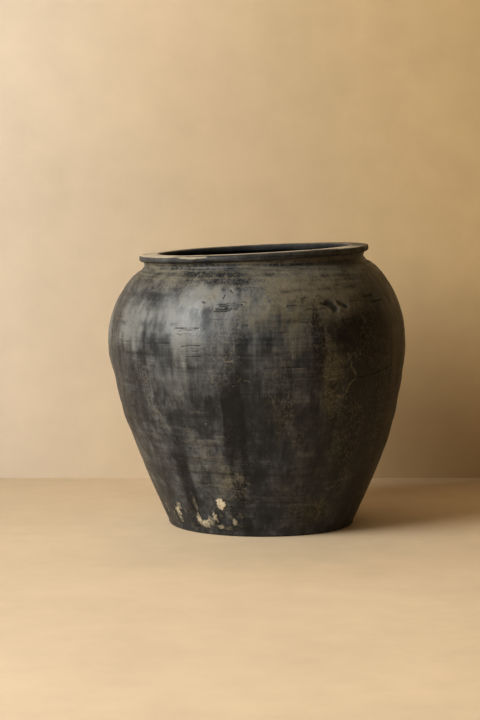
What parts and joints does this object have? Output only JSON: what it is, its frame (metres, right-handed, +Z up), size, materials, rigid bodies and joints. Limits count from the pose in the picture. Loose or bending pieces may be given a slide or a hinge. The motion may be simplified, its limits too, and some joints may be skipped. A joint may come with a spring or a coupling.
{
  "type": "clay storage pot",
  "caption": "Wide-mouthed black clay storage pot with a high round shoulder, short neck and broad flat lip, built up from clay coils on a floor disc.",
  "frame": {"origin": "centre of the flat underside, on the surface that the pot stands on", "axes": "+Z up out of the mouth, +X to the right in the picture, towards the side on which the settled lip stands higher, +Y away from its viewer"},
  "size_m": [0.5004, 0.5, 0.4725],
  "materials": {
    "burnished_black_clay": "reduction-fired charcoal black, lightly burnished, dusty grey on the shoulder, brown-black on the right, with pale lime stains at the foot",
    "rubbed_neck_clay": "matt black-brown clay with turned ridges, dust in the grooves",
    "rubbed_lip_clay": "black clay worn to grey-brown on top, with one shallow chip",
    "bare_inside_clay": "unburnished matt black clay",
    "bare_floor_clay": "unburnished matt black clay, scuffed underneath"
  },
  "bodies": {
    "root": {"floor_disc": "bare_floor_clay", "corner_coil": "bare_inside_clay", "foot_coil": "burnished_black_clay", "lower_wall_coil_1": "burnished_black_clay", "lower_wall_coil_2": "burnished_black_clay", "lower_wall_coil_3": "burnished_black_clay", "belly_coil_1": "burnished_black_clay", "belly_coil_2": "burnished_black_clay", "belly_coil_3": "burnished_black_clay", "shoulder_coil_1": "burnished_black_clay", "shoulder_coil_2": "burnished_black_clay", "neck_coil": "rubbed_neck_clay", "lip_coil": "rubbed_lip_clay"}
  },
  "joints": []
}
